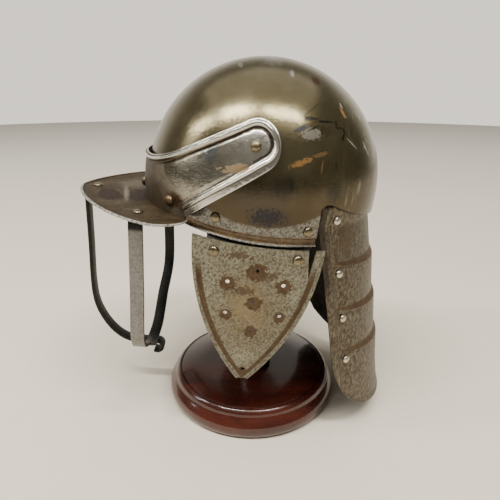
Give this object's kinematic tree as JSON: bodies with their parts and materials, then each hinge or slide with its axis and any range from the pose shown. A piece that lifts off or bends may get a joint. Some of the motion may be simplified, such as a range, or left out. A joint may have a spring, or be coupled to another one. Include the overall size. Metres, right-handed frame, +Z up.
{
  "type": "lobster-tail pot helmet on display stand",
  "caption": "Tarnished steel pot helmet with a hinged peak and face bars, cheek pieces and a laminated neck guard, on a plain turned wooden stand.",
  "frame": {"origin": "middle of the stand's underside, on the surface it stands on", "axes": "+Z up, -Y the way the face looks, +X the wearer's left"},
  "size_m": [0.2214, 0.3106, 0.3465],
  "materials": {
    "skull_steel": "tarnished olive-bronze steel with a satin gloss",
    "brow_steel": "polished steel with brown rust towards the front",
    "peak_steel": "brown rusted steel with worn bright patches",
    "bar_iron": "dark iron with a worn zinc-grey outer face",
    "cheek_steel": "light worn steel with rust specks",
    "tail_steel": "worn steel with brown bands under each lame",
    "rivet_brass": "dull pale brass",
    "rivet_steel": "dull steel",
    "strap_leather": "black leather",
    "stand_wood": "glossy dark mahogany"
  },
  "bodies": {
    "body": {"skull": "skull_steel", "neck_guard": "tail_steel", "stand_base": "stand_wood", "stand_post": "stand_wood", "stand_head": "stand_wood", "cheek_piece_left": "cheek_steel", "strap_front_left": "strap_leather", "skull_rivet_front_left": "rivet_brass", "cheek_rivet_front_left": "rivet_brass", "strap_rear_left": "strap_leather", "skull_rivet_rear_left": "rivet_brass", "cheek_rivet_rear_left": "rivet_brass", "tail_rivet_1_left": "rivet_steel", "tail_rivet_2_left": "rivet_steel", "tail_rivet_3_left": "rivet_steel", "tail_rivet_4_left": "rivet_steel", "cheek_piece_right": "cheek_steel", "strap_front_right": "strap_leather", "skull_rivet_front_right": "rivet_brass", "cheek_rivet_front_right": "rivet_brass", "strap_rear_right": "strap_leather", "skull_rivet_rear_right": "rivet_brass", "cheek_rivet_rear_right": "rivet_brass", "tail_rivet_1_right": "rivet_steel", "tail_rivet_2_right": "rivet_steel", "tail_rivet_3_right": "rivet_steel", "tail_rivet_4_right": "rivet_steel"},
    "visor": {"brow_plate": "brow_steel", "peak": "peak_steel", "side_bars": "bar_iron", "centre_bar": "bar_iron", "pivot_rivet_left": "rivet_brass", "pivot_rivet_right": "rivet_brass", "brow_rivet_1": "rivet_steel", "brow_rivet_2": "rivet_steel", "brow_rivet_3": "rivet_steel", "brow_rivet_4": "rivet_steel", "peak_rivet_centre": "rivet_brass", "peak_rivet_left": "rivet_brass", "peak_rivet_right": "rivet_brass"}
  },
  "joints": [
    {"name": "visor_lift", "type": "hinge", "parent": "body", "child": "visor", "pos_m": [0, -0.00056, 0.28152], "axis": [-1, 0, 0], "range_deg": [0, 50]}
  ]
}
